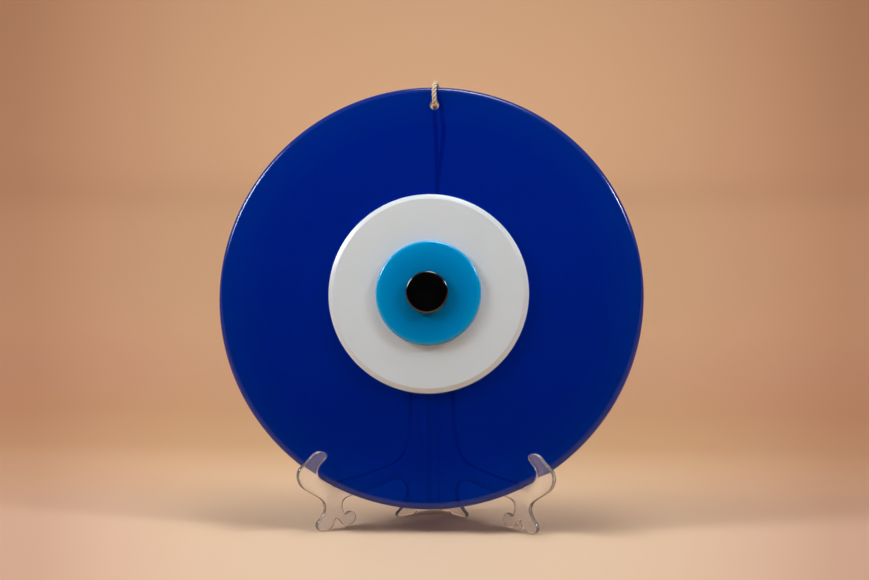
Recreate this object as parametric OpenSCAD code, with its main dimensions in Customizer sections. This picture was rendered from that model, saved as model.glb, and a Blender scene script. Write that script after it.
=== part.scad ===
// Evil eye ornament: a drilled cobalt glass disc with three smaller discs
// glued on it, a cotton hanging cord, and the clear folding stand it rests on.
// Millimetres, +Z up, front towards -Y, origin on the surface it stands on.

/* [Ornament] */
// Radius of the cobalt glass disc
plate_r = 125; // [105:1:150]
// Thickness of the cobalt glass disc
plate_t = 6; // [5:0.5:8]
// Rounding of the cobalt disc's front edge
plate_front_round = 3.5; // [1:0.1:4]
// Rounding of the cobalt disc's back edge
plate_back_round = 1.5; // [0.5:0.1:2]
// Radius of the white disc
white_r = 58.8; // [45:0.1:72]
// Thickness of the white disc
white_t = 4; // [3:0.5:6]
// Width of the bevel round the white disc
white_bevel_w = 2.8; // [1:0.1:4]
// Depth of the bevel round the white disc
white_bevel_t = 1.3; // [0.5:0.1:2]
// Radius of the light blue disc
iris_r = 30.9; // [24:0.1:38]
// Thickness of the light blue disc
iris_t = 3; // [2:0.5:5]
// Rounding of the light blue disc's front edge
iris_round = 1.6; // [0.5:0.1:1.9]
// Radius of the black pupil
pupil_r = 12.5; // [9:0.1:16]
// Thickness of the black pupil
pupil_t = 3; // [2:0.5:5]
// Rounding of the black pupil's front edge
pupil_round = 1.2; // [0.5:0.1:1.9]
// Thickness of each adhesive film between two discs
film_t = 0.3; // [0.2:0.1:0.6]
// How far each adhesive film stops short of the disc it holds
film_inset = 2; // [1:0.5:4]

/* [Hanging hole and cord] */
// Radius of the hanging hole
hole_r = 2.5; // [2.4:0.1:3]
// Width of the small bevel round each mouth of the hole
hole_bevel = 0.3; // [0.1:0.05:0.5]
// Glass left between the centre of the hole and the rim
hole_edge = 11.3; // [10.8:0.1:11.8]
// Diameter of the cotton cord
cord_d = 2.8; // [2:0.1:2.8]
// Diameter of the knot that closes the cord's loop
knot_d = 8; // [6:0.5:8]

/* [Stand] */
// Thickness of each wing's panel
wing_t = 3; // [2.4:0.1:3.4]
// Angle of each open wing from the frontal plane, in degrees
wing_angle = 42.5; // [40:0.5:45]
// Lean of the ornament from upright, in degrees
lean = 16; // [14:0.5:20]
// Width of each upright at the nose that the ornament leans on
nose_s = 13.4; // [12:0.1:14]
// How far the spine stops short of the uprights' tops
spine_drop = 12; // [12:1:60]
// Distance between the two hinge lines in the spine
hinge_gap = 4.2; // [4.2:0.1:5]
// Radius of the bead along each wing's rear edge
bead_r = 1; // [0.9:0.05:1.2]
// Plastic left round each groove of the spine
groove_wall = 0.8; // [0.7:0.1:1.2]
// Thickness of the neck between a wing's panel and its bead
neck_t = 1; // [0.8:0.1:1.2]
// Radius of the small round pads that part the folded wings
pad_r = 1.8; // [1.2:0.1:2]

/* [Clearances] */
// Gap between a bead and its groove
bead_gap = 0.1; // [0.05:0.05:0.15]
// Gap between the ornament and the stand where it rests
rest_gap = 0.3; // [0.2:0.1:0.5]

/* [Hidden] */
$fn = 96;

// Heights of the layers above the cobalt disc's back face
white_z = plate_t + film_t;
iris_z = white_z + white_t + film_t;
pupil_z = iris_z + iris_t + film_t;
// The two small discs have their back edges only just rounded
small_back_round = 0.3;
// The discs are glued by hand, each a little off the middle
white_at = [-0.7, 0.8];
iris_at = [-0.5, 0.5];
pupil_at = [-1.1, 0.5];
hole_at = [0.9, plate_r - hole_edge];

// Wing outline, s from the hinge line outwards and z up.
// Each stretch is a smooth curve through its points.
panel_start = 2.3;
heel_lift = 1.2;
rear_foot = [[11, heel_lift], [12.4, 0.3], [14, 0]];
arch = [[24, 0], [26, 0.8], [25.9, 2.6], [23, 4.8], [19, 9.4], [17.4, 13.6], [18.3, 18],
    [21.4, 21.4], [26, 22.9], [31, 22.6], [39, 20.8], [50, 19.7], [58, 18.4],
    [63, 17.6], [65.8, 15.8], [66.4, 13], [65.6, 10], [64.6, 7.4]];
scroll = [[64.6, 7.4], [62.8, 8.5], [60.3, 9.1], [57.9, 8], [56.8, 5.4], [57.6, 2.8],
    [60, 1.1], [63.2, 0.8], [66.4, 1.9], [68.5, 4.6], [70.4, 6.3], [71.9, 5.1],
    [73, 2.6], [75, 0.6], [77.6, 0]];
front_leg = [[80.6, 0], [83.5, 1], [84.9, 3.4], [84.1, 6], [81.2, 8.8], [79.2, 12],
    [79, 15.4], [80.9, 18.4], [85, 21.4], [90.2, 24.6], [94.8, 28], [97.3, 32],
    [97.9, 35.6], [96.6, 39.2], [92.6, 41.8], [89.3, 44.2], [86, 46.8], [82.2, 47.6],
    [78.9, 46.8], [77.3, 44.8], [78.7, 42.5], [82.4, 39.7], [84, 36.8], [83.5, 33.6],
    [81.9, 31]];
pocket = [[81.9, 31], [78.4, 28.7], [75, 26.4], [72.2, 25.5], [70.2, 26.2], [68.6, 27.8],
    [66, 28.5]];
arm_top = [[66, 28.5], [55, 28.9], [43.5, 30.6], [35, 31.6], [28.5, 33], [23.5, 35.4],
    [20.4, 38.8], [17.4, 46], [15.4, 57.4], [14.6, 75], [14.2, 100]];
nose_rise = 8;
shoulder_drop = 12;
tip_at = [77.3, 44.8];
rest_at = [76.6, 27.1];
wing_reach = 97.9;
pad_at = [5.3, 44.2];

// Where the spine and the ornament stand
spine_half = hinge_gap / 2;
groove_r = bead_r + bead_gap;
spine_r = groove_r + groove_wall;
spine_floor = 3;
bead_z = spine_floor + rest_gap;
neck_gap = 0.2;
fold_clear = 0.05;
// How far a cut runs past its piece, and how far joined shapes sink together
overrun = 1;
neck_sink = 1;
pad_sink = 0.5;
// The cobalt disc's front face lies just behind the hooks' tips, its rim rests
// in the pockets and its back leans on the noses of the uprights
tip_y = -tip_at[0] * sin(wing_angle) + wing_t / 2 * cos(wing_angle);
back_y = tip_y + rest_gap + plate_t / cos(lean);
nose_y = -nose_s * sin(wing_angle) - wing_t / 2 * cos(wing_angle);
nose_z = tip_at[1] + (nose_y - rest_gap - back_y) / tan(lean);
upright_h = nose_z + nose_rise;
spine_h = upright_h - spine_drop;
rest_x = spine_half + rest_at[0] * cos(wing_angle);
rest_drop = sqrt(plate_r * plate_r - rest_x * rest_x) * cos(lean);
ornament_z = rest_at[1] + rest_gap + rest_drop;
ornament_y = back_y + (ornament_z - tip_at[1]) * tan(lean);
// The whole is centred front to back, without its cord
front_reach = -wing_reach * sin(wing_angle) - wing_t / 2 * cos(wing_angle);
rim_middle = plate_r - plate_back_round;
back_reach = ornament_y + rim_middle * sin(lean) - plate_back_round * cos(lean)
    + plate_back_round;
spine_y = -(front_reach + back_reach) / 2;

// The cord's route, from the knot up behind the disc, forward through the
// hole, up over the rim and back down to the knot
cord_route = [[2.2, 34.9, 141], [2.2, 34.9, 149], [2.1, 34.9, 157], [2.1, 34.9, 165],
    [2, 34.9, 173], [2, 34.9, 181], [2.1, 34.9, 189], [2.2, 34.9, 197], [2.4, 34.9, 204],
    [2.2, 35, 211], [1.9, 35.6, 219], [1.5, 37, 228], [1, 38.1, 233], [0.8, 39.3, 237.4],
    [0.9, 39.4, 240.2], [0.9, 38, 242.6], [0.9, 35.5, 243.8], [0.9, 32.9, 245.2],
    [0.9, 31.5, 247.6], [0.8, 31.6, 250.5], [0.7, 32.6, 253.3], [0.8, 34, 255.6],
    [1.1, 36.4, 257], [1.5, 39.1, 256.9], [1.9, 41.5, 255.5], [2.3, 42.8, 253.1],
    [2.8, 42.7, 250.4], [3.9, 41.5, 246], [4.8, 40.5, 241], [5.6, 39.6, 235],
    [6.1, 38.9, 228], [5.6, 38.4, 221], [4.6, 38.1, 213], [3.4, 38, 206], [2.6, 38, 198],
    [2.2, 38, 190], [2.1, 38, 182], [2.1, 38, 174], [2.1, 37.9, 166], [2.2, 37.9, 158],
    [2.2, 37.9, 150], [2.2, 37.9, 141]];
// The knot sits just under the cord's two ends
knot_gap = 0.05;
knot_at = (cord_route[0] + cord_route[len(cord_route) - 1]) / 2
    - [0, 0, knot_d / 2 + knot_gap];

function bezier_point(a, b, c, d, t) = pow(1 - t, 3) * a + 3 * t * pow(1 - t, 2) * b
    + 3 * t * t * (1 - t) * c + t * t * t * d;
// A smooth curve through every point, steps stretches between two points
function curve(p, steps) = [for (i = [0:len(p) - 2])
    let (before = p[max(i - 1, 0)], a = p[i], d = p[i + 1],
        after = p[min(i + 2, len(p) - 1)],
        b = a + (d - before) / 6, c = d - (after - a) / 6)
    for (k = [0:steps - 1]) bezier_point(a, b, c, d, k / steps), ];

function wing_outline() = concat([[panel_start, heel_lift]],
    curve(rear_foot, 2), curve(arch, 3), curve(scroll, 3), curve(front_leg, 3),
    curve(pocket, 2), curve(arm_top, 3), curve(upright_top(), 4),
    [[panel_start, upright_h - shoulder_drop]]);
// The upright narrows to a rounded nose that the disc leans on
function upright_top() = [[14.2, 100], [nose_s + 0.4, nose_z - 30],
    [nose_s + 0.1, nose_z - 4], [nose_s, nose_z], [nose_s - 2.8, upright_h - 3],
    [nose_s - 6, upright_h], [4.6, upright_h - 3], [2.8, upright_h - 8],
    [panel_start, upright_h - shoulder_drop]];

// One quarter of a rounded edge
module quarter(r) {
    intersection() {
        circle(r = r);
        square(r);
    }
}

// A disc on its back face, with a rounded front edge and back edge
module rounded_disc(r, t, front, back) {
    rotate_extrude() {
        square([r - front, t]);
        square([r - back, t - front]);
        translate([0, back]) square([r, t - front - back]);
        translate([r - front, t - front]) quarter(front);
        translate([r - back, back]) mirror([0, 1]) quarter(back);
    }
}

// Puts a child, built on the cobalt disc's back face, where the ornament leans
module on_ornament(z = 0) {
    translate([0, spine_y + ornament_y, ornament_z]) rotate([90 - lean, 0, 0])
        translate([0, 0, z]) children();
}

module adhesive(r) {
    cylinder(r = r - film_inset, h = film_t);
}

module cobalt_glass_disc() color("#0a2f8f") on_ornament() {
    difference() {
        rounded_disc(plate_r, plate_t, plate_front_round, plate_back_round);
        translate([hole_at[0], hole_at[1], -overrun])
            cylinder(r = hole_r, h = plate_t + 2 * overrun);
        for (face = [0, 1])
            translate([hole_at[0], hole_at[1], face * plate_t]) mirror([0, 0, face])
                cylinder(r1 = hole_r + hole_bevel, r2 = hole_r, h = hole_bevel);
    }
}

module white_disc() color("#e8e8e6") on_ornament(white_z) {
    translate(white_at) {
        cylinder(r = white_r, h = white_t - white_bevel_t);
        translate([0, 0, white_t - white_bevel_t])
            cylinder(r1 = white_r, r2 = white_r - white_bevel_w, h = white_bevel_t);
    }
}

module light_blue_disc() color("#1497c4") on_ornament(iris_z) {
    translate(iris_at) rounded_disc(iris_r, iris_t, iris_round, small_back_round);
}

module black_pupil() color("#0b0b0d") on_ornament(pupil_z) {
    translate(pupil_at) rounded_disc(pupil_r, pupil_t, pupil_round, small_back_round);
}

module white_disc_adhesive() color("#cfe3f5") on_ornament(plate_t) {
    translate(white_at) adhesive(white_r);
}

module light_blue_disc_adhesive() color("#cfe3f5") on_ornament(white_z + white_t) {
    translate(iris_at) adhesive(iris_r);
}

module pupil_adhesive() color("#cfe3f5") on_ornament(iris_z + iris_t) {
    translate(pupil_at) adhesive(pupil_r);
}

// Two hinge lines: each groove opens between its wing's open and folded places
module stand_spine() color("#dfe9ee") translate([0, spine_y, 0]) {
    linear_extrude(spine_floor) spine_outline();
    translate([0, 0, spine_floor]) linear_extrude(spine_h - spine_floor) difference() {
        spine_outline();
        for (side = [0, 1]) mirror([side, 0]) translate([spine_half, 0]) groove();
    }
}

module spine_outline() {
    square([2 * spine_half, 2 * spine_r], center = true);
    for (side = [-1, 1]) translate([side * spine_half, 0]) circle(r = spine_r);
}

module groove() {
    slot = neck_t / 2 + neck_gap;
    far = 2 * spine_r;
    out = [cos(wing_angle), -sin(wing_angle)];
    over = [sin(wing_angle), cos(wing_angle)];
    circle(r = groove_r);
    polygon([slot * over, slot * over + far * out, [far, -far], [-slot, -far], [-slot, 0]]);
}

// A wing lies along +X from its hinge line, its inner face towards -Y
module wing() {
    rotate([90, 0, 0]) translate([0, 0, -wing_t / 2]) linear_extrude(wing_t)
        polygon(wing_outline());
    translate([0, 0, bead_z]) cylinder(r = bead_r, h = spine_h - bead_z);
    translate([0, -neck_t / 2, bead_z])
        cube([panel_start + neck_sink, neck_t, spine_h - bead_z]);
    pad_h = (hinge_gap - wing_t) / 2 - fold_clear;
    translate([pad_at[0], -wing_t / 2, pad_at[1]]) rotate([90, 0, 0])
        translate([0, 0, -pad_sink]) cylinder(r = pad_r, h = pad_h + pad_sink);
}

module placed_wing() {
    translate([spine_half, spine_y, 0]) rotate([0, 0, -wing_angle]) wing();
}

module stand_right_wing() color("#dfe9ee") placed_wing();
module stand_left_wing() color("#d3e0e8") mirror([1, 0, 0]) placed_wing();

// A round tube through every point of a route, with flat ends
function unit(v) = v / norm(v);
function heading(p, i) = unit(p[min(i + 1, len(p) - 1)] - p[max(i - 1, 0)]);
module tube(p, d, sides) {
    rings = [for (i = [0:len(p) - 1])
        let (h = heading(p, i), u = unit(cross(h, [1, 0, 0])), v = cross(h, u))
        for (k = [0:sides - 1])
            p[i] + d / 2 * (cos(360 * k / sides) * u + sin(360 * k / sides) * v)];
    last = (len(p) - 1) * sides;
    walls = [for (i = [0:len(p) - 2], k = [0:sides - 1])
        let (a = i * sides, n = (k + 1) % sides)
        [a + k, a + sides + k, a + sides + n, a + n]];
    polyhedron(rings, concat(walls, [[for (k = [0:sides - 1]) k]],
        [[for (k = [sides - 1:-1:0]) last + k]]), convexity = 6);
}

module hanging_cord() color("#cdb894") tube(cord_route, cord_d, 8);
module cord_knot() color("#c4ad86") translate(knot_at) sphere(r = knot_d / 2);

cobalt_glass_disc();
white_disc();
light_blue_disc();
black_pupil();
white_disc_adhesive();
light_blue_disc_adhesive();
pupil_adhesive();
hanging_cord();
cord_knot();
stand_spine();
stand_left_wing();
stand_right_wing();
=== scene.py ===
import bpy
import bmesh
import math
import random
from mathutils import Matrix, Vector


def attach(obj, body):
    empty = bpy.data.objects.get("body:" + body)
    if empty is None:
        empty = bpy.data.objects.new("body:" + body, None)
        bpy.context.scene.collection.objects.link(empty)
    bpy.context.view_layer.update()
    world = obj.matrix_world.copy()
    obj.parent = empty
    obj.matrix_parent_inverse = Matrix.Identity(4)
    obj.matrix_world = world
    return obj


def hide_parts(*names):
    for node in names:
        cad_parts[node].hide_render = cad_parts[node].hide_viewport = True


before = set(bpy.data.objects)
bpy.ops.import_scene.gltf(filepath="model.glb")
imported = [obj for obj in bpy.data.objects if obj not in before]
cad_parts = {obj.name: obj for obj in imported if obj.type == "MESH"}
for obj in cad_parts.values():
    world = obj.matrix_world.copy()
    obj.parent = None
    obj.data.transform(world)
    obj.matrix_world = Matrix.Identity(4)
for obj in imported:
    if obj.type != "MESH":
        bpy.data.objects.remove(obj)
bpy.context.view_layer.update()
scene = bpy.context.scene
rng = random.Random(7)
MM = 0.001
# Heights between which the painted falloff of light runs down the glass, in metres
FADE_FOOT, FADE_TOP = 0.02, 0.19


# ---------------------------------------------------------------- camera
TARGET = Vector((2.2, 8.0, 137.35)) * MM
DISTANCE = 1.413
AZIMUTH = math.radians(4.1)
ELEVATION = math.radians(8.3)
ROLL = math.radians(-0.27)
LENS, SENSOR_WIDTH = 99.42, 36
NEAREST, FARTHEST = 0.05, 50


def make_camera():
    data = bpy.data.cameras.new("camera")
    data.lens = LENS
    data.sensor_width = SENSOR_WIDTH
    data.clip_start = NEAREST
    data.clip_end = FARTHEST
    camera = bpy.data.objects.new("camera", data)
    scene.collection.objects.link(camera)
    flat = math.cos(ELEVATION)
    away = Vector((math.sin(AZIMUTH) * flat, -math.cos(AZIMUTH) * flat, math.sin(ELEVATION)))
    level = Vector((0, 0, 1)).cross(away).normalized()
    upright = away.cross(level)
    right = level * math.cos(ROLL) + upright * math.sin(ROLL)
    up = upright * math.cos(ROLL) - level * math.sin(ROLL)
    turn = Matrix((right, up, away)).transposed().to_4x4()
    camera.matrix_world = Matrix.Translation(TARGET + away * DISTANCE) @ turn
    scene.camera = camera


make_camera()


# ---------------------------------------------------------------- node helpers
def material(name):
    m = bpy.data.materials.new(name)
    m.use_nodes = True
    return m, m.node_tree, m.node_tree.nodes["Principled BSDF"]


def put(shader, **values):
    """Sets sockets by name, with _ for each space in the name."""
    for key, value in values.items():
        shader.inputs[key.replace("_", " ")].default_value = value


def node(tree, kind, **values):
    n = tree.nodes.new(kind)
    for key, value in values.items():
        setattr(n, key, value)
    return n


def position(tree, scale=(1, 1, 1)):
    coords = node(tree, "ShaderNodeTexCoord")
    mapping = node(tree, "ShaderNodeMapping")
    mapping.inputs["Scale"].default_value = scale
    tree.links.new(coords.outputs["Object"], mapping.inputs["Vector"])
    return mapping.outputs["Vector"]


def axis(tree, name, space="Object"):
    """One axis of the coordinates: X, Y or Z."""
    coords = node(tree, "ShaderNodeTexCoord")
    split = node(tree, "ShaderNodeSeparateXYZ")
    tree.links.new(coords.outputs[space], split.inputs[0])
    return split.outputs[name]


def noise(tree, vector, scale, detail=3, rough=0.5):
    n = node(tree, "ShaderNodeTexNoise")
    n.inputs["Scale"].default_value = scale
    n.inputs["Detail"].default_value = detail
    n.inputs["Roughness"].default_value = rough
    tree.links.new(vector, n.inputs["Vector"])
    return n.outputs["Fac"]


def ramp(tree, factor, stops):
    """A colour for each factor; stops are pairs of a factor and a colour."""
    r = node(tree, "ShaderNodeValToRGB")
    first, last = r.color_ramp.elements[0], r.color_ramp.elements[1]
    first.position, first.color = stops[0][0], (*stops[0][1], 1)
    last.position, last.color = stops[-1][0], (*stops[-1][1], 1)
    for place, colour in stops[1:-1]:
        r.color_ramp.elements.new(place).color = (*colour, 1)
    tree.links.new(factor, r.inputs["Fac"])
    return r.outputs["Color"]


def spread(tree, factor, low, high, start=0.0, end=1.0, smooth=False):
    """Runs from low to high while the factor runs from start to end."""
    n = node(tree, "ShaderNodeMapRange", interpolation_type="SMOOTHSTEP" if smooth else "LINEAR")
    n.inputs["From Min"].default_value = start
    n.inputs["From Max"].default_value = end
    n.inputs["To Min"].default_value = low
    n.inputs["To Max"].default_value = high
    tree.links.new(factor, n.inputs["Value"])
    return n.outputs["Result"]


def math_node(tree, operation, *values):
    """A Math node: each value is a number or another node's output."""
    n = node(tree, "ShaderNodeMath", operation=operation)
    for socket, value in zip(n.inputs, values):
        if isinstance(value, (int, float)):
            socket.default_value = value
        else:
            tree.links.new(value, socket)
    return n.outputs[0]


def multiply(tree, a, b):
    n = node(tree, "ShaderNodeVectorMath", operation="MULTIPLY")
    tree.links.new(a, n.inputs[0])
    tree.links.new(b, n.inputs[1])
    return n.outputs[0]


def away_from(tree, middle, radius=1):
    """Distance from a point, as a share of a radius."""
    coords = node(tree, "ShaderNodeTexCoord")
    apart = node(tree, "ShaderNodeVectorMath", operation="DISTANCE")
    apart.inputs[1].default_value = middle
    tree.links.new(coords.outputs["Object"], apart.inputs[0])
    return math_node(tree, "DIVIDE", apart.outputs["Value"], radius)


def painted_falloff_down_the_disc(tree, foot):
    """Painted shade: full colour above FADE_TOP, fading to a share of it down at FADE_FOOT, as light
    falls off down the glass.
    """
    return spread(tree, axis(tree, "Z"), foot, 1.0, start=FADE_FOOT, end=FADE_TOP)


def bump(tree, shader, height, strength, distance):
    b = node(tree, "ShaderNodeBump")
    b.inputs["Strength"].default_value = strength
    b.inputs["Distance"].default_value = distance
    tree.links.new(height, b.inputs["Height"])
    tree.links.new(b.outputs["Normal"], shader.inputs["Normal"])


# ---------------------------------------------------------------- materials
def cobalt_glass(middle, radius, hole, hole_edge):
    """Partly clear and partly milky, with a painted greener glow near the rim and painted shade down
    the disc, and ground pale round the hole.
    """
    m, tree, s = material("cobalt_glass")
    put(s, Transmission_Weight=0.7, IOR=1.5)
    p = position(tree)
    depth = ramp(tree, noise(tree, p, 7, 2), [(0.25, (0.0, 0.030, 0.62)), (0.75, (0.0, 0.036, 0.68))])
    # Painted glow: more green in the colour near the rim of the cobalt disc
    painted_rim_glow = ramp(tree, away_from(tree, middle, radius), [
        (0.80, (1.0, 1.0, 1.0)), (0.93, (1.0, 1.35, 1.0)), (1.0, (1.0, 1.7, 0.98))])
    # Painted shade: the cobalt is darkened towards the foot of the disc
    body = multiply(tree, multiply(tree, depth, painted_rim_glow), painted_falloff_down_the_disc(tree, 0.72))
    ground = ramp(tree, away_from(tree, hole, hole_edge), [(0.97, (1, 1, 1)), (1.0, (0, 0, 0))])
    pale = node(tree, "ShaderNodeMix", data_type="RGBA")
    pale.inputs["B"].default_value = (0.86, 0.80, 0.66, 1)
    tree.links.new(ground, pale.inputs["Factor"])
    tree.links.new(body, pale.inputs["A"])
    tree.links.new(pale.outputs["Result"], s.inputs["Base Color"])
    polish = spread(tree, noise(tree, p, 9), 0.008, 0.02)
    finish = math_node(tree, "MAXIMUM", polish, spread(tree, ground, 0.0, 0.5))
    tree.links.new(finish, s.inputs["Roughness"])
    return m


def white_glass():
    m, tree, s = material("white_glass")
    put(s, IOR=1.5, Coat_Weight=0.35, Coat_Roughness=0.06, Subsurface_Weight=0.15)
    put(s, Subsurface_Radius=(1, 1, 1), Subsurface_Scale=0.002)
    p = position(tree)
    cloudy = ramp(tree, noise(tree, p, 26, 4), [(0.3, (0.77, 0.905, 0.985)), (0.7, (0.8, 0.93, 1.0))])
    # Painted shade: the white is darkened towards the foot of the disc
    tree.links.new(multiply(tree, cloudy, painted_falloff_down_the_disc(tree, 0.8)), s.inputs["Base Color"])
    tree.links.new(spread(tree, noise(tree, p, 60), 0.14, 0.24), s.inputs["Roughness"])
    bump(tree, s, noise(tree, p, 90, 2), 0.05, 0.0003)
    return m


def light_blue_glass(middle, radius):
    m, tree, s = material("light_blue_glass")
    put(s, IOR=1.5, Coat_Weight=0.4, Coat_Roughness=0.04, Subsurface_Weight=0.1)
    put(s, Subsurface_Radius=(0.3, 0.7, 1), Subsurface_Scale=0.002)
    p = position(tree)
    wobble = 0.12
    share = math_node(tree, "MULTIPLY_ADD", noise(tree, p, 45), wobble, away_from(tree, middle, radius))
    body = ramp(tree, share, [
        (0.40, (0.0, 0.262, 0.627)),
        (0.75, (0.0, 0.316, 0.79)),
        (0.98, (0.0, 0.393, 0.92)),
        (1.06, (0.0, 0.458, 0.965))])
    # Painted shade: the light blue is darkened strongly towards the foot of the disc
    tree.links.new(multiply(tree, body, painted_falloff_down_the_disc(tree, 0.33)), s.inputs["Base Color"])
    tree.links.new(spread(tree, noise(tree, p, 70), 0.05, 0.12), s.inputs["Roughness"])
    return m


def black_glass():
    m, tree, s = material("black_glass")
    put(s, IOR=1.52, Coat_Weight=1.0, Coat_Roughness=0.02)
    p = position(tree)
    deep = ramp(tree, noise(tree, p, 80), [(0.3, (0.001, 0.001, 0.0015)), (0.7, (0.003, 0.003, 0.004))])
    tree.links.new(deep, s.inputs["Base Color"])
    tree.links.new(spread(tree, noise(tree, p, 120), 0.03, 0.07), s.inputs["Roughness"])
    return m


def clear_adhesive():
    m, tree, s = material("clear_adhesive")
    put(s, Base_Color=(0.9, 0.95, 1.0, 1), Transmission_Weight=0.85, IOR=1.47)
    p = position(tree)
    tree.links.new(spread(tree, noise(tree, p, 150), 0.1, 0.4), s.inputs["Roughness"])
    bump(tree, s, noise(tree, p, 300, 2), 0.3, 0.0002)
    return m


def clear_plastic():
    m, tree, s = material("clear_plastic")
    put(s, Base_Color=(0.965, 0.972, 0.985, 1), Transmission_Weight=0.94, IOR=1.5)
    p = position(tree)
    tree.links.new(spread(tree, noise(tree, p, 40), 0.0, 0.05), s.inputs["Roughness"])
    bump(tree, s, noise(tree, position(tree, (1, 1, 0.4)), 70, 2), 0.22, 0.0008)
    return m


def cotton_cord():
    m, tree, s = material("cotton_cord")
    put(s, Roughness=0.92, Sheen_Weight=0.25, Sheen_Roughness=0.5)
    put(s, Subsurface_Weight=0.08, Subsurface_Radius=(1, 0.7, 0.5), Subsurface_Scale=0.001)
    # Painted light and shade: the ply crests are painted pale cream and the grooves between plies dark
    # brown, with the noise as the cord's own mottle
    ply = node(tree, "ShaderNodeAttribute", attribute_name="ply")
    p = position(tree)
    mottle = 0.35
    shade = math_node(tree, "MULTIPLY_ADD", noise(tree, p, 900, 4, 0.7), mottle, ply.outputs["Fac"])
    mottle_and_ply_shade = ramp(tree, shade, [
        (0.15, (0.12, 0.07, 0.035)),
        (0.5, (0.48, 0.33, 0.18)),
        (0.85, (0.78, 0.64, 0.42)),
        (1.15, (0.9, 0.8, 0.6))])
    tree.links.new(mottle_and_ply_shade, s.inputs["Base Color"])
    bump(tree, s, noise(tree, position(tree, (1, 1, 0.35)), 1600, 3, 0.7), 0.6, 0.0003)
    return m


COTTON = cotton_cord()
PLASTIC = clear_plastic()
ADHESIVE = clear_adhesive()


# ---------------------------------------------------------------- mesh helpers
def add_object(name, mesh, mat, smooth_angle):
    mesh.shade_smooth()
    mesh.set_sharp_from_angle(angle=math.radians(smooth_angle))
    obj = bpy.data.objects.new(name, mesh)
    scene.collection.objects.link(obj)
    obj.data.materials.clear()
    obj.data.materials.append(mat)
    return obj


def baked(obj):
    """The object's mesh with its modifiers in it."""
    graph = bpy.context.evaluated_depsgraph_get()
    return bpy.data.meshes.new_from_object(obj.evaluated_get(graph))


CURVE_STEPS = 12


def smooth_path(points, step):
    """Evenly spaced points on a smooth curve through the given ones, and its length."""
    fine = []
    for i in range(len(points) - 1):
        before = points[max(i - 1, 0)]
        a, d = points[i], points[i + 1]
        after = points[min(i + 2, len(points) - 1)]
        b, c = a + (d - before) / 6, d - (after - a) / 6
        for k in range(CURVE_STEPS):
            t = k / CURVE_STEPS
            u = 1 - t
            fine.append(a * u**3 + b * 3 * t * u * u + c * 3 * t * t * u + d * t**3)
    fine.append(points[-1])
    total = sum((q - p).length for p, q in zip(fine, fine[1:]))
    count = max(2, round(total / step))
    out, walked, i = [fine[0]], 0.0, 0
    for k in range(1, count):
        goal = total * k / count
        while walked + (fine[i + 1] - fine[i]).length < goal:
            walked += (fine[i + 1] - fine[i]).length
            i += 1
        part = (goal - walked) / (fine[i + 1] - fine[i]).length
        out.append(fine[i].lerp(fine[i + 1], part))
    out.append(fine[-1])
    return out, total


def twisted_tube(bm, layer, path, radius, sides, pitch, phase=0.0, fray=None):
    """A three-ply twisted yarn along a path, added to a bmesh."""
    up = Vector((1, 0, 0))
    rings, walked = [], 0.0
    for i, p in enumerate(path):
        ahead = (path[min(i + 1, len(path) - 1)] - path[max(i - 1, 0)]).normalized()
        up = (up - ahead * up.dot(ahead)).normalized()
        side = ahead.cross(up)
        if i:
            walked += (p - path[i - 1]).length
        turn = phase + 2 * math.pi * walked / pitch
        ring = []
        for k in range(sides):
            a = 2 * math.pi * k / sides
            lobe = abs(math.cos(1.5 * (a - turn)))
            r = radius * (0.7 + 0.3 * lobe)
            if fray:
                r *= fray(i / (len(path) - 1))
            v = bm.verts.new(p + (up * math.cos(a) + side * math.sin(a)) * r)
            # The ply value is high on the crests and low in the grooves, for the cord's painted groove
            # shade and crest light
            v[layer] = 0.15 + 0.7 * lobe
            ring.append(v)
        rings.append(ring)
    for r0, r1 in zip(rings, rings[1:]):
        for k in range(sides):
            n = (k + 1) % sides
            bm.faces.new((r0[k], r0[n], r1[n], r1[k]))
    bm.faces.new(list(reversed(rings[0])))
    bm.faces.new(rings[-1])


def yarn_object(name, runs):
    bm = bmesh.new()
    layer = bm.verts.layers.float.new("ply")
    for run in runs:
        twisted_tube(bm, layer, **run)
    mesh = bpy.data.meshes.new(name)
    bm.to_mesh(mesh)
    bm.free()
    return add_object(name, mesh, COTTON, 60)


# ---------------------------------------------------------------- cord
CORD_DIAMETER = 2.8 * MM
CORD_ROUTE = [
    (2.2, 34.9, 141), (2.2, 34.9, 149), (2.1, 34.9, 157), (2.1, 34.9, 165),
    (2, 34.9, 173), (2, 34.9, 181), (2.1, 34.9, 189), (2.2, 34.9, 197), (2.4, 34.9, 204),
    (2.2, 35, 211), (1.9, 35.6, 219), (1.5, 37, 228), (1, 38.1, 233), (0.8, 39.3, 237.4),
    (0.9, 39.4, 240.2), (0.9, 38, 242.6), (0.9, 35.5, 243.8), (0.9, 32.9, 245.2),
    (0.9, 31.5, 247.6), (0.8, 31.6, 250.5), (0.7, 32.6, 253.3), (0.8, 34, 255.6),
    (1.1, 36.4, 257), (1.5, 39.1, 256.9), (1.9, 41.5, 255.5), (2.3, 42.8, 253.1),
    (2.8, 42.7, 250.4), (3.9, 41.5, 246), (4.8, 40.5, 241), (5.6, 39.6, 235),
    (6.1, 38.9, 228), (5.6, 38.4, 221), (4.6, 38.1, 213), (3.4, 38, 206), (2.6, 38, 198),
    (2.2, 38, 190), (2.1, 38, 182), (2.1, 38, 174), (2.1, 37.9, 166), (2.2, 37.9, 158),
    (2.2, 37.9, 150), (2.2, 37.9, 141)]
KNOT_AT = Vector((2.2, 36.4, 136.95)) * MM
YARN_PITCH, KNOT_PITCH = 7.2 * MM, 6 * MM
KNOT_YARN_R = 1.35 * MM
PATH_STEP = 0.35 * MM
# Each loose end under the knot: the side it leans to and how far it hangs, in millimetres
LOOSE_ENDS = ((-1, 13.5), (1, 11))

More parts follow.
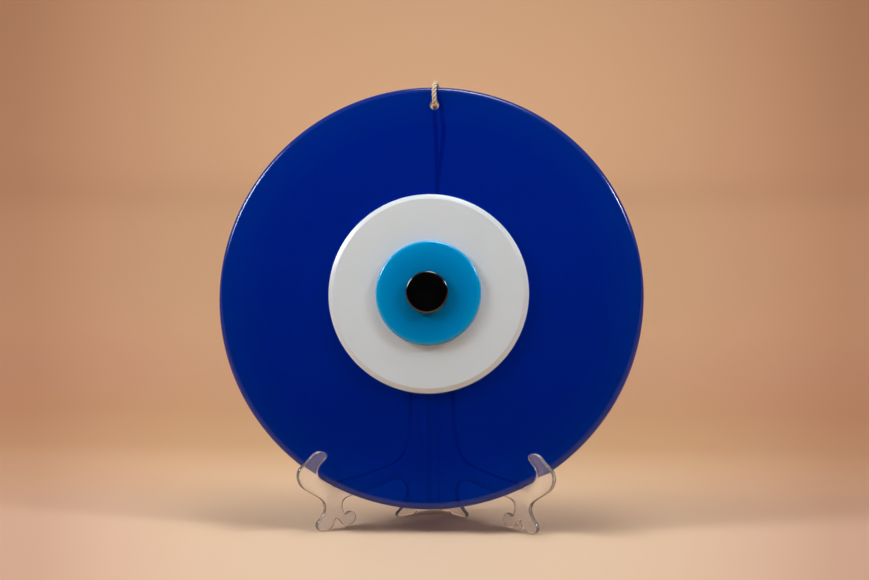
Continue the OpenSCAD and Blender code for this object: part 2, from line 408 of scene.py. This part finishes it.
route = [Vector(p) * MM for p in CORD_ROUTE]
cord_path, cord_length = smooth_path(route, PATH_STEP)
cord = yarn_object("twisted_cord", [
    dict(path=cord_path, radius=CORD_DIAMETER / 2, sides=30, pitch=YARN_PITCH)])


def frayed(t):
    """The yarn swells by a quarter over its last quarter."""
    return 1 + 0.25 * max(0, t - 0.75) * 4


def knot_runs():
    """An overhand knot pulled tight, which is a trefoil, and its two short ends."""
    loop = []
    steps, spacing = 72, 1.25
    for k in range(steps):
        t = 2 * math.pi * k / steps
        reach = 1.45 + 0.72 * math.cos(3 * t)
        loop.append(KNOT_AT + Vector((
            reach * math.cos(2 * t),
            reach * math.sin(2 * t) * 0.9,
            1.25 * math.sin(3 * t) + 0.1)) * spacing * MM)
    loop.append(loop[0])
    runs = [dict(path=loop, radius=KNOT_YARN_R, sides=26, pitch=KNOT_PITCH)]
    for side, drop in LOOSE_ENDS:
        end = [KNOT_AT + Vector(p) * MM for p in (
            (0.6 * side, 0.3 * side, 0.5), (1.0 * side, 0.6 * side, -3),
            (1.7 * side, 0.9 * side, -6.5), (2.0 * side, 1.4 * side, -drop))]
        path, _ = smooth_path(end, PATH_STEP)
        runs.append(dict(path=path, radius=KNOT_YARN_R, sides=24, pitch=YARN_PITCH, fray=frayed))
    return runs


knot = yarn_object("cord_end_knot", knot_runs())


FIBRE_R = 0.035 * MM
CORD_FIBRES, FIBRES_PER_END = 420, 90


def fibres(name, spots):
    """Fine stray fibres: each is a thin bent thread of three sides."""
    bm = bmesh.new()
    layer = bm.verts.layers.float.new("ply")
    for root, out, length in spots:
        sway = Vector([rng.uniform(-1, 1) for _ in range(3)]).normalized()
        path = [root + out * length * t + sway * length * 0.45 * t * t
                for t in (0, 0.25, 0.5, 0.75, 1)]
        side = out.orthogonal().normalized()
        other = out.cross(side)
        rings = []
        for i, p in enumerate(path):
            r = FIBRE_R * (1.15 - 0.2 * i)
            ring = [bm.verts.new(p + side * r * math.cos(a) + other * r * math.sin(a))
                    for a in (0, 2.1, 4.2)]
            for v in ring:
                # Stray fibres take the pale, crest end of the cord's painted shading
                v[layer] = 0.9
            rings.append(ring)
        for r0, r1 in zip(rings, rings[1:]):
            for k in range(3):
                n = (k + 1) % 3
                bm.faces.new((r0[k], r0[n], r1[n], r1[k]))
        bm.faces.new(list(reversed(rings[0])))
        bm.faces.new(rings[-1])
    mesh = bpy.data.meshes.new(name)
    bm.to_mesh(mesh)
    bm.free()
    return add_object(name, mesh, COTTON, 60)


def cord_fibre_spots():
    spots = []
    for _ in range(CORD_FIBRES):
        i = rng.randrange(4, len(cord_path) - 4)
        ahead = (cord_path[i + 1] - cord_path[i - 1]).normalized()
        a = rng.uniform(0, 2 * math.pi)
        side = ahead.orthogonal().normalized()
        out = (side * math.cos(a) + ahead.cross(side) * math.sin(a)).normalized()
        tilted = (out + ahead * rng.uniform(-0.9, 0.9)).normalized()
        spots.append((cord_path[i] + out * 1.1 * MM, tilted, rng.uniform(0.5, 1.3) * MM))
    return spots


def end_fibre_spots():
    spots = []
    for side, drop in LOOSE_ENDS:
        tip = KNOT_AT + Vector((2.0 * side, 1.4 * side, -drop + 0.4)) * MM
        for _ in range(FIBRES_PER_END):
            out = Vector((rng.uniform(-0.5, 0.5), rng.uniform(-0.5, 0.5), -1)).normalized()
            start = tip + Vector((out.x, out.y, 0)) * 2.4 * MM
            spots.append((start, out, rng.uniform(1.5, 3.6) * MM))
    return spots


cord_fuzz = fibres("cord_fibres", cord_fibre_spots())
end_fuzz = fibres("cord_end_fibres", end_fibre_spots())

for piece in (cord, knot, cord_fuzz, end_fuzz):
    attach(piece, "ornament")
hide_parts("hanging_cord")
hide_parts("cord_knot")


# ---------------------------------------------------------------- glass discs
LEAN = math.radians(16)
DISC_MIDDLE = Vector((0, 7.0098, 133.5484)) * MM
LEANING = Matrix.Translation(DISC_MIDDLE) @ Matrix.Rotation(math.pi / 2 - LEAN, 4, "X")
PLATE_R, PLATE_T = 125.0, 6.0
WHITE_R, WHITE_T = 58.8, 4.0
IRIS_R, IRIS_T = 30.9, 3.0
PUPIL_R, PUPIL_T = 12.5, 3.0
FILM_T, FILM_INSET, FILM_GAP = 0.3, 2.0, 0.01
HOLE_AT, HOLE_R, HOLE_BEVEL = (0.9, 113.7), 2.5, 0.3
HOLE_MARGIN = 0.05
WHITE_Z = PLATE_T + FILM_T
IRIS_Z = WHITE_Z + WHITE_T + FILM_T
PUPIL_Z = IRIS_Z + IRIS_T + FILM_T


def arc(cx, cz, r, start, end, steps):
    return [(cx + r * math.cos(math.radians(start + (end - start) * k / steps)),
             cz + r * math.sin(math.radians(start + (end - start) * k / steps)))
            for k in range(steps + 1)]


def turned(profile, segments, wave=None):
    """A profile of (radius, height) turned round an axis."""
    bm = bmesh.new()
    rings = []
    for r, z in profile:
        if r == 0:
            rings.append([bm.verts.new((0, 0, z))])
            continue
        ring = []
        for k in range(segments):
            a = 2 * math.pi * k / segments
            rr = r + (wave(a) if wave else 0)
            ring.append(bm.verts.new((rr * math.cos(a), rr * math.sin(a), z)))
        rings.append(ring)
    for r0, r1 in zip(rings, rings[1:]):
        for k in range(segments):
            n = (k + 1) % segments
            if len(r0) == 1:
                bm.faces.new((r0[0], r1[n], r1[k]))
            elif len(r1) == 1:
                bm.faces.new((r0[k], r0[n], r1[0]))
            else:
                bm.faces.new((r0[k], r0[n], r1[n], r1[k]))
    return bm


def lathe(name, profile, middle, height, segments=256, wave=None):
    """A closed profile turned round a disc's own axis, in millimetres, and set leaning."""
    bm = turned(profile, segments, wave)
    bmesh.ops.recalc_face_normals(bm, faces=bm.faces)
    place = LEANING @ Matrix.Scale(MM, 4) @ Matrix.Translation((middle[0], middle[1], height))
    bm.transform(place)
    mesh = bpy.data.meshes.new(name)
    bm.to_mesh(mesh)
    bm.free()
    return mesh


# A narrow flat ring beside each rounded edge keeps the flat face's shading flat
SUPPORT = 0.12
BACK_ROUND = 0.3


def plate_profile():
    front, back = 3.5, 1.5
    return ([(0, 0), (PLATE_R - back - SUPPORT, 0)]
            + arc(PLATE_R - back, back, back, -90, 0, 10)
            + arc(PLATE_R - front, PLATE_T - front, front, 0, 90, 18)
            + [(PLATE_R - front - SUPPORT, PLATE_T), (0, PLATE_T)])


def white_profile():
    bevel_w, bevel_t, edge, crest, back = 2.8, 1.3, 0.35, 0.5, 0.2
    slope = math.degrees(math.atan2(bevel_t, bevel_w))
    top_mid = WHITE_R - bevel_w - crest * math.tan(math.radians(slope / 2))
    side_z = WHITE_T - bevel_t
    reach = edge * math.tan(math.radians((90 - slope) / 2))
    return ([(0, 0), (WHITE_R - back, 0), (WHITE_R, back), (WHITE_R, side_z - reach - SUPPORT)]
            + arc(WHITE_R - edge, side_z - reach, edge, 0, 90 - slope, 6)
            + arc(top_mid, WHITE_T - crest, crest, 90 - slope, 90, 5)
            + [(top_mid - SUPPORT, WHITE_T), (0, WHITE_T)])


def small_disc_profile(r, t, front, steps):
    """Rounded by BACK_ROUND at its back edge and, in that many steps, by front at its front one."""
    return ([(0, 0), (r - BACK_ROUND - SUPPORT, 0)]
            + arc(r - BACK_ROUND, BACK_ROUND, BACK_ROUND, -90, 0, 4)
            + arc(r - front, t - front, front, 0, 90, steps)
            + [(r - front - SUPPORT, t), (0, t)])


IRIS_PROFILE = small_disc_profile(IRIS_R, IRIS_T, front=1.6, steps=14)
PUPIL_PROFILE = small_disc_profile(PUPIL_R, PUPIL_T, front=1.2, steps=12)


def film_wave(inset):
    """A wavy outline for spread adhesive, a little inside its nominal radius."""
    parts = [(rng.uniform(0.05, 0.28), rng.randrange(3, 12), rng.uniform(0, 6)) for _ in range(5)]
    return lambda a: sum(h * math.sin(n * a + p) for h, n, p in parts) - inset


def disc(name, mesh, mat, cad_node):
    obj = add_object(name, mesh, mat, 30)
    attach(obj, "ornament")
    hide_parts(cad_node)
    return obj


def drilled_plate():
    """The cobalt disc with its hanging hole cut by a drill that flares at each face."""
    past = 1
    flare = HOLE_R + HOLE_BEVEL + past
    mesh = lathe("cobalt_plate", plate_profile(), (0, 0), 0, 320)
    cutter_profile = [(0, -past), (flare, -past), (HOLE_R, HOLE_BEVEL),
                      (HOLE_R, PLATE_T - HOLE_BEVEL), (flare, PLATE_T + past),
                      (0, PLATE_T + past)]
    cutter = bpy.data.objects.new("drill", lathe("drill", cutter_profile, HOLE_AT, 0, 96))
    plate = bpy.data.objects.new("plate", mesh)
    for o in (cutter, plate):
        scene.collection.objects.link(o)
    cut = plate.modifiers.new("hole", "BOOLEAN")
    cut.operation, cut.solver, cut.object = "DIFFERENCE", "EXACT", cutter
    drilled = baked(plate)
    for o in (cutter, plate):
        bpy.data.objects.remove(o)
    return drilled


def on_disc(x, y, z):
    return tuple(LEANING @ (Vector((x, y, z)) * MM))


WHITE_AT, IRIS_AT, PUPIL_AT = (-0.7, 0.8), (-0.5, 0.5), (-1.1, 0.5)
disc("cobalt_plate", drilled_plate(),
     cobalt_glass(on_disc(0, 0, PLATE_T), PLATE_R * MM, on_disc(*HOLE_AT, PLATE_T),
                  (HOLE_R + HOLE_BEVEL + HOLE_MARGIN) * MM),
     "cobalt_glass_disc")
disc("white_ring", lathe("white_ring", white_profile(), WHITE_AT, WHITE_Z),
     white_glass(), "white_disc")
disc("light_blue_iris", lathe("light_blue_iris", IRIS_PROFILE, IRIS_AT, IRIS_Z, 192),
     light_blue_glass(on_disc(*IRIS_AT, IRIS_Z + IRIS_T), IRIS_R * MM),
     "light_blue_disc")
disc("pupil_disc", lathe("pupil_disc", PUPIL_PROFILE, PUPIL_AT, PUPIL_Z, 128),
     black_glass(), "black_pupil")
for title, radius, middle, height in (
        ("white_disc_adhesive", WHITE_R, WHITE_AT, PLATE_T),
        ("light_blue_disc_adhesive", IRIS_R, IRIS_AT, WHITE_Z + WHITE_T),
        ("pupil_adhesive", PUPIL_R, PUPIL_AT, IRIS_Z + IRIS_T)):
    r = radius - FILM_INSET
    top = FILM_T - FILM_GAP
    film = [(0, FILM_GAP), (r - 0.1, FILM_GAP), (r, 0.09), (r - 0.04, FILM_T / 2), (r, FILM_T - 0.09),
            (r - 0.1, top), (0, top)]
    disc(title + "_film", lathe(title, film, middle, height, 160, film_wave(0.45)),
         ADHESIVE, title)


# ---------------------------------------------------------------- clear stand
HINGE_X, HINGE_Y = 2.1 * MM, 26.137 * MM
PAD_S, PAD_Z, PAD_R, PAD_MARGIN = 5.3 * MM, 44.2 * MM, 1.8 * MM, 0.3 * MM
SHARP = math.radians(50)
PANEL_START, SQUARE_ABOVE, NECK_SHARE = 2.2 * MM, 150 * MM, 0.2


def edge_softness(bm, reach):
    """Full rounding past the reach from the hinge line, less beside it, none on the bead,
    the pad or the top of the neck."""
    weight = bm.edges.layers.float.new("bevel_weight_edge")
    for e in bm.edges:
        if len(e.link_faces) != 2 or e.calc_face_angle() < SHARP:
            continue
        middle = (e.verts[0].co + e.verts[1].co) / 2
        s = math.hypot(abs(middle.x) - HINGE_X, middle.y - HINGE_Y)
        on_pad = math.hypot(s - PAD_S, middle.z - PAD_Z) < PAD_R + PAD_MARGIN
        if s > reach and not on_pad:
            e[weight] = 1.0
        elif s > PANEL_START and not on_pad and middle.z < SQUARE_ABOVE:
            e[weight] = NECK_SHARE


def stand_piece(name, cad_node, body, edge, reach):
    """The CAD piece with its sharp edges rounded, edge in millimetres."""
    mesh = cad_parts[cad_node].data.copy()
    bm = bmesh.new()
    bm.from_mesh(mesh)
    bmesh.ops.remove_doubles(bm, verts=bm.verts, dist=0.002 * MM)
    bmesh.ops.dissolve_limit(bm, angle_limit=math.radians(0.6), verts=bm.verts, edges=bm.edges)
    edge_softness(bm, reach)
    bm.to_mesh(mesh)
    bm.free()
    rough = bpy.data.objects.new("rough", mesh)
    scene.collection.objects.link(rough)
    soften = rough.modifiers.new("edges", "BEVEL")
    soften.width, soften.segments, soften.limit_method = edge * MM, 4, "WEIGHT"
    soften.use_clamp_overlap = False
    soft = baked(rough)
    bpy.data.objects.remove(rough)
    obj = add_object(name, soft, PLASTIC, 40)
    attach(obj, body)
    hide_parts(cad_node)
    return obj


SPINE_EDGE, WING_EDGE, WING_REACH = 0.2, 0.75, 4 * MM
stand_piece("stand_spine_moulding", "stand_spine", "spine", SPINE_EDGE, 0)
for side in ("left", "right"):
    stand_piece(f"{side}_wing_moulding", f"stand_{side}_wing", f"{side}_wing", WING_EDGE, WING_REACH)


# ---------------------------------------------------------------- set
FLOOR_R, SWEEP_R, WALL_TOP = 2.0, 0.6, 0.78
# The painted pool of light lies along the view from the camera: this is how far it drifts
# sideways for each metre back
POOL_DRIFT = 0.0717
GLOW_MIDDLE = (-0.17, 2.6, 0.1)


def paper():
    """Warm paper, painted darker towards the sides and in bands along its depth, with a painted pool of
    light along the view and a painted glow where it rises behind the object.
    """
    m, tree, s = material("paper")
    put(s, Roughness=0.9, Specular_IOR_Level=0.15)
    back = axis(tree, "Y")
    # Painted light and shade along the depth: lighter paper on the floor in front, a darker band a
    # little behind the object, even further back, and darker again where the paper rises into the wall
    along = ramp(tree, spread(tree, back, 0.0, 1.0, start=-0.3, end=2.7), [
        (0.0, (0.81, 0.55, 0.37)),
        (0.098, (0.83, 0.57, 0.385)),
        (0.130, (0.84, 0.54, 0.33)),
        (0.170, (0.67, 0.385, 0.20)),
        (0.213, (0.66, 0.355, 0.185)),
        (0.268, (0.72, 0.39, 0.225)),
        (0.334, (0.79, 0.445, 0.25)),
        (0.415, (0.80, 0.465, 0.265)),
        (0.65, (0.80, 0.47, 0.27)),
        (0.80, (0.77, 0.45, 0.26)),
        (0.85, (0.72, 0.42, 0.24)),
        (0.885, (0.68, 0.395, 0.225)),
        (0.925, (0.63, 0.365, 0.21))])
    offset = math_node(tree, "MULTIPLY_ADD", back, POOL_DRIFT, axis(tree, "X"))
    off_line = math_node(tree, "ABSOLUTE", offset)
    pool_width = spread(tree, back, 0.2, 1.462, start=-0.82, end=2.7)
    # Painted pool of light: the paper is lightest along the line of view and painted darker towards the
    # sides, the pool widening further back
    painted_pool_across = ramp(tree, math_node(tree, "DIVIDE", off_line, pool_width), [
        (0.0, (0.877, 0.956, 0.996)),
        (0.175, (0.895, 0.956, 0.982)),
        (0.295, (0.877, 0.904, 0.921)),
        (0.388, (0.822, 0.798, 0.833)),
        (0.48, (0.719, 0.658, 0.675)),
        (0.56, (0.69, 0.62, 0.64))])
    colour = multiply(tree, along, painted_pool_across)
    tree.links.new(colour, s.inputs["Base Color"])
    tree.links.new(colour, s.inputs["Emission Color"])
    # Painted glow: the paper emits light in its own painted colour, none near the object, more further
    # out and most round GLOW_MIDDLE where it rises behind
    painted_glow_centre = spread(tree, away_from(tree, GLOW_MIDDLE), 1.0, 0.5, start=0.0, end=0.95, smooth=True)
    painted_glow_outer = spread(tree, away_from(tree, (0, 0, 0)), 0.0, 0.72, start=0.3, end=1.7, smooth=True)
    tree.links.new(math_node(tree, "MULTIPLY", painted_glow_centre, painted_glow_outer), s.inputs["Emission Strength"])
    bump(tree, s, noise(tree, position(tree), 400), 0.03, 0.0004)
    return m


def backdrop():
    """A pale floor that sweeps up all round into a low wall."""
    steps = 14
    profile = [(0, 0), (0.3, 0), (0.8, 0), (FLOOR_R, 0)]
    for k in range(1, steps + 1):
        a = math.pi / 2 * k / steps
        profile.append((FLOOR_R + SWEEP_R * math.sin(a), SWEEP_R - SWEEP_R * math.cos(a)))
    profile.append((FLOOR_R + SWEEP_R, WALL_TOP))
    bm = turned(profile, 96)
    bmesh.ops.reverse_faces(bm, faces=bm.faces)
    mesh = bpy.data.meshes.new("studio_sweep")
    bm.to_mesh(mesh)
    bm.free()
    add_object("studio_sweep", mesh, paper(), 60)


backdrop()

COOL = (0.94, 0.97, 1.0)


def softbox(name, where, aim, size, watts, colour=(1, 1, 1), hot=3.0, reach=0.56):
    """A rectangular lamp that is hot in its middle and fades out towards its edges."""
    data = bpy.data.lights.new(name, "AREA")
    data.shape = "RECTANGLE"
    data.size, data.size_y = size
    data.energy = watts
    data.color = colour
    data.use_nodes = True
    tree = data.node_tree
    spot = node(tree, "ShaderNodeNewGeometry")
    off = node(tree, "ShaderNodeVectorMath", operation="DISTANCE")
    off.inputs[1].default_value = (0.5, 0.5, 0)
    tree.links.new(spot.outputs["Parametric"], off.inputs[0])
    fade = spread(tree, off.outputs["Value"], hot, 0.05, start=0.0, end=reach, smooth=True)
    tree.links.new(fade, tree.nodes["Emission"].inputs["Strength"])
    obj = bpy.data.objects.new(name, data)
    scene.collection.objects.link(obj)
    obj.location = where
    obj.rotation_mode = "QUATERNION"
    obj.rotation_quaternion = (Vector(aim) - Vector(where)).to_track_quat("-Z", "Y")


softbox("top_box", (0.14, 0.1, 1.68), (0, 0.02, 0.13), (1.3, 0.8), 13, hot=2.6)
softbox("left_box", (-0.98, -0.24, 0.86), (0, 0, 0.13), (0.6, 0.66), 10, COOL)
softbox("right_box", (1.13, -0.29, 1.06), (0, 0, 0.13), (0.55, 0.6), 8.5, COOL, hot=5.2, reach=0.42)


def room():
    """Dim walls behind and beside the object, a dim ceiling, and darkness in front."""
    world = bpy.data.worlds.new("studio")
    scene.world = world
    world.use_nodes = True
    tree = world.node_tree
    behind = spread(tree, axis(tree, "Y", "Generated"), 0.004, 0.3, start=-0.45, end=0.25, smooth=True)
    above = spread(tree, axis(tree, "Z", "Generated"), 0.0, 0.3, start=0.52, end=0.68, smooth=True)
    back = tree.nodes["Background"]
    back.inputs["Color"].default_value = (0.8, 0.66, 0.6, 1)
    tree.links.new(math_node(tree, "MAXIMUM", behind, above), back.inputs["Strength"])


room()
scene.view_settings.view_transform = "Standard"
